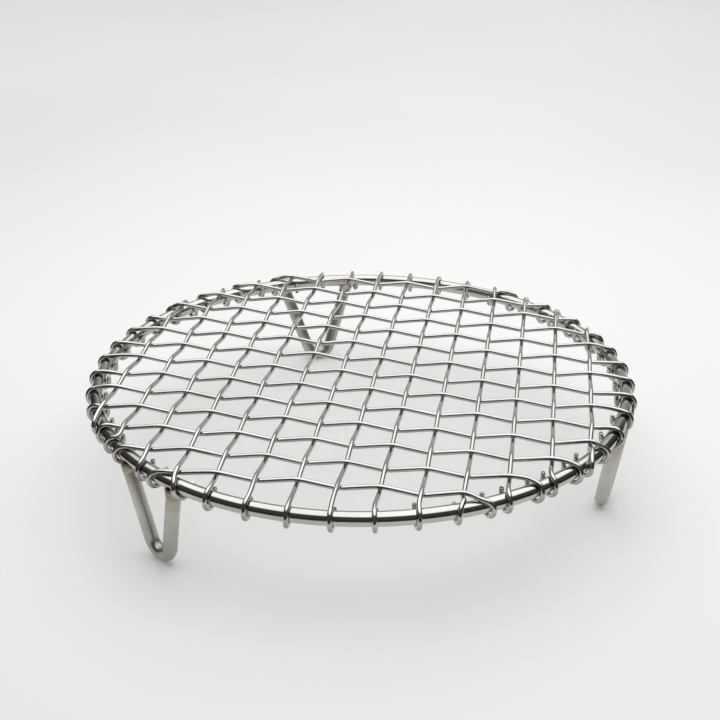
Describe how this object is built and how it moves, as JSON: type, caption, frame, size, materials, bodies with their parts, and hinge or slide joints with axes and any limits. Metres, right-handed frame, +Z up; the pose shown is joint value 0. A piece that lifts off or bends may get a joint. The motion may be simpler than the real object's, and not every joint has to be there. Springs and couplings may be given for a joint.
{
  "type": "cooling rack",
  "caption": "Round wire cooling rack: a woven mesh of crimped steel wires hooked round a rim hoop on V-shaped wire feet.",
  "frame": {"origin": "on the floor under the centre of the rim hoop", "axes": "+Z up, +X along the weft wires to the right of the picture, +Y along the warp wires towards the back"},
  "size_m": [0.2004, 0.2004, 0.0397],
  "materials": {
    "hoop_steel": "bright drawn stainless steel, polished",
    "mesh_steel": "bright drawn stainless steel wire",
    "foot_steel": "satin grey stainless steel",
    "weld_steel": "heat-tinted weld metal"
  },
  "bodies": {
    "root": {"rim_hoop": "hoop_steel", "weft_wire_01": "mesh_steel", "weft_wire_02": "mesh_steel", "weft_wire_03": "mesh_steel", "weft_wire_04": "mesh_steel", "weft_wire_05": "mesh_steel", "weft_wire_06": "mesh_steel", "weft_wire_07": "mesh_steel", "weft_wire_08": "mesh_steel", "weft_wire_09": "mesh_steel", "weft_wire_10": "mesh_steel", "weft_wire_11": "mesh_steel", "weft_wire_12": "mesh_steel", "weft_wire_13": "mesh_steel", "weft_wire_14": "mesh_steel", "warp_wire_01": "mesh_steel", "warp_wire_02": "mesh_steel", "warp_wire_03": "mesh_steel", "warp_wire_04": "mesh_steel", "warp_wire_05": "mesh_steel", "warp_wire_06": "mesh_steel", "warp_wire_07": "mesh_steel", "warp_wire_08": "mesh_steel", "warp_wire_09": "mesh_steel", "warp_wire_10": "mesh_steel", "warp_wire_11": "mesh_steel", "warp_wire_12": "mesh_steel", "warp_wire_13": "mesh_steel", "warp_wire_14": "mesh_steel", "leg_front_left": "foot_steel", "leg_front_left_weld_a": "weld_steel", "leg_front_left_weld_b": "weld_steel", "leg_right": "foot_steel", "leg_right_weld_a": "weld_steel", "leg_right_weld_b": "weld_steel", "leg_back_left": "foot_steel", "leg_back_left_weld_a": "weld_steel", "leg_back_left_weld_b": "weld_steel"}
  },
  "joints": []
}
